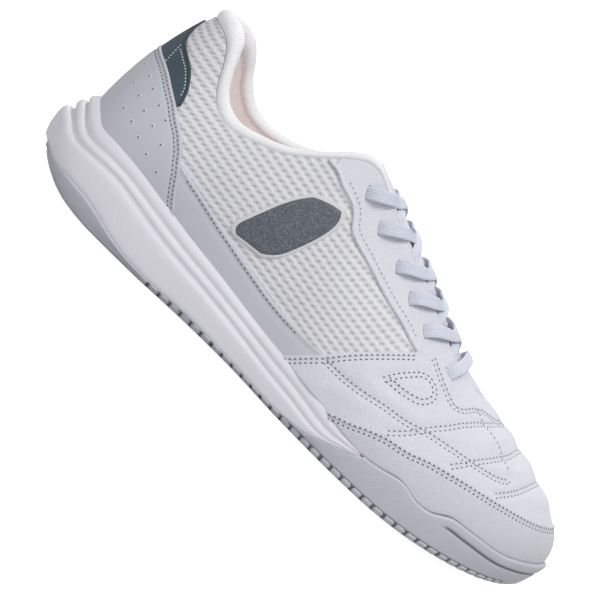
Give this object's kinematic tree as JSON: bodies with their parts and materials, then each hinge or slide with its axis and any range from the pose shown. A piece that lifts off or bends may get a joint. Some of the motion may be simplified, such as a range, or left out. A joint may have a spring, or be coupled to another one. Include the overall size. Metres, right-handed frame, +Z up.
{
  "type": "indoor soccer shoe",
  "caption": "Low right indoor soccer shoe with a hollow mesh upper, suede overlays, padded collar, tongue, flat laces and a cupped foam and rubber sole.",
  "frame": {"origin": "Centre of the bounding box in plan, on the ground under the sole", "axes": "+X toward the toe, +Y toward the inner (medial) side of the foot, +Z up"},
  "size_m": [0.2878, 0.1001, 0.107],
  "materials": {
    "outsole": "satin light blue-grey rubber",
    "midsole": "matte near-white foam",
    "insole": "pinkish woven top cloth",
    "upper": "off-white warm grey mesh",
    "tongue": "off-white padded mesh",
    "collar": "white fine-ribbed knit",
    "eyestay": "light lilac-grey suede",
    "vamp": "light lilac-grey suede",
    "toe_guard": "light lilac-grey suede",
    "heel_counter": "smooth cool grey synthetic leather",
    "heel_tab": "dark teal synthetic leather",
    "rand_lateral": "smooth cool grey synthetic leather",
    "rand_medial": "smooth cool grey synthetic leather",
    "side_patch_lateral": "dark grey glitter film",
    "side_patch_medial": "dark grey glitter film",
    "lace_cross_1": "lavender-grey flat woven lace",
    "lace_cross_2": "lavender-grey flat woven lace",
    "lace_cross_3": "lavender-grey flat woven lace",
    "lace_cross_4": "lavender-grey flat woven lace",
    "lace_cross_5": "lavender-grey flat woven lace",
    "lace_bar": "lavender-grey flat woven lace"
  },
  "bodies": {
    "root": {"outsole": "outsole", "midsole": "midsole", "insole": "insole", "upper": "upper", "tongue": "tongue", "collar": "collar", "eyestay": "eyestay", "vamp": "vamp", "toe_guard": "toe_guard", "heel_counter": "heel_counter", "heel_tab": "heel_tab", "rand_lateral": "rand_lateral", "rand_medial": "rand_medial", "side_patch_lateral": "side_patch_lateral", "side_patch_medial": "side_patch_medial", "lace_cross_1": "lace_cross_1", "lace_cross_2": "lace_cross_2", "lace_cross_3": "lace_cross_3", "lace_cross_4": "lace_cross_4", "lace_cross_5": "lace_cross_5", "lace_bar": "lace_bar"}
  },
  "joints": []
}
